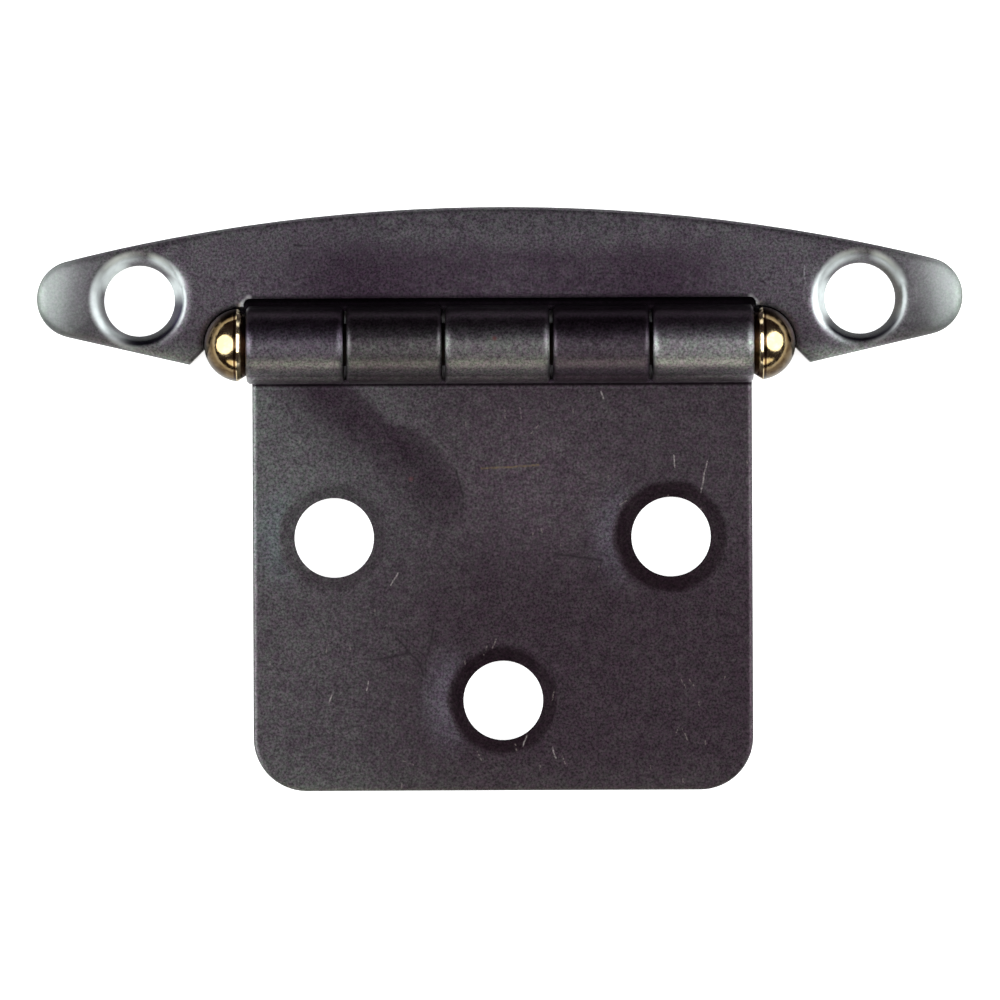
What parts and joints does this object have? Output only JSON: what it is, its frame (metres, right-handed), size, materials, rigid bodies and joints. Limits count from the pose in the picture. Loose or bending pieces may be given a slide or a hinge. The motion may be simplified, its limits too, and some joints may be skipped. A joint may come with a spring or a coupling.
{
  "type": "flush hinge",
  "caption": "Flush hinge for a cabinet door: a crowned face-frame wing with two dished screw ears, a three-hole door leaf and a domed brass pin.",
  "frame": {"origin": "midway between the two screw holes of the frame leaf, on the plane of both leaves' backs", "axes": "+X along the hinge pin, +Y from the door leaf towards the wing, +Z out of the face that shows"},
  "size_m": [0.0698, 0.0439, 0.0059],
  "materials": {
    "blackened_steel": "satin blackened steel",
    "blackened_steel_leaf": "satin blackened steel, scuffed",
    "polished_brass": "polished"
  },
  "bodies": {
    "frame": {"frame_leaf": "blackened_steel", "hinge_pin": "polished_brass"},
    "door": {"door_leaf": "blackened_steel_leaf"}
  },
  "joints": [
    {"name": "door_swing", "type": "hinge", "parent": "frame", "child": "door", "pos_m": [0, -0.0034, 0.00293], "axis": [-1, 0, 0], "range_deg": [0, 180]}
  ]
}
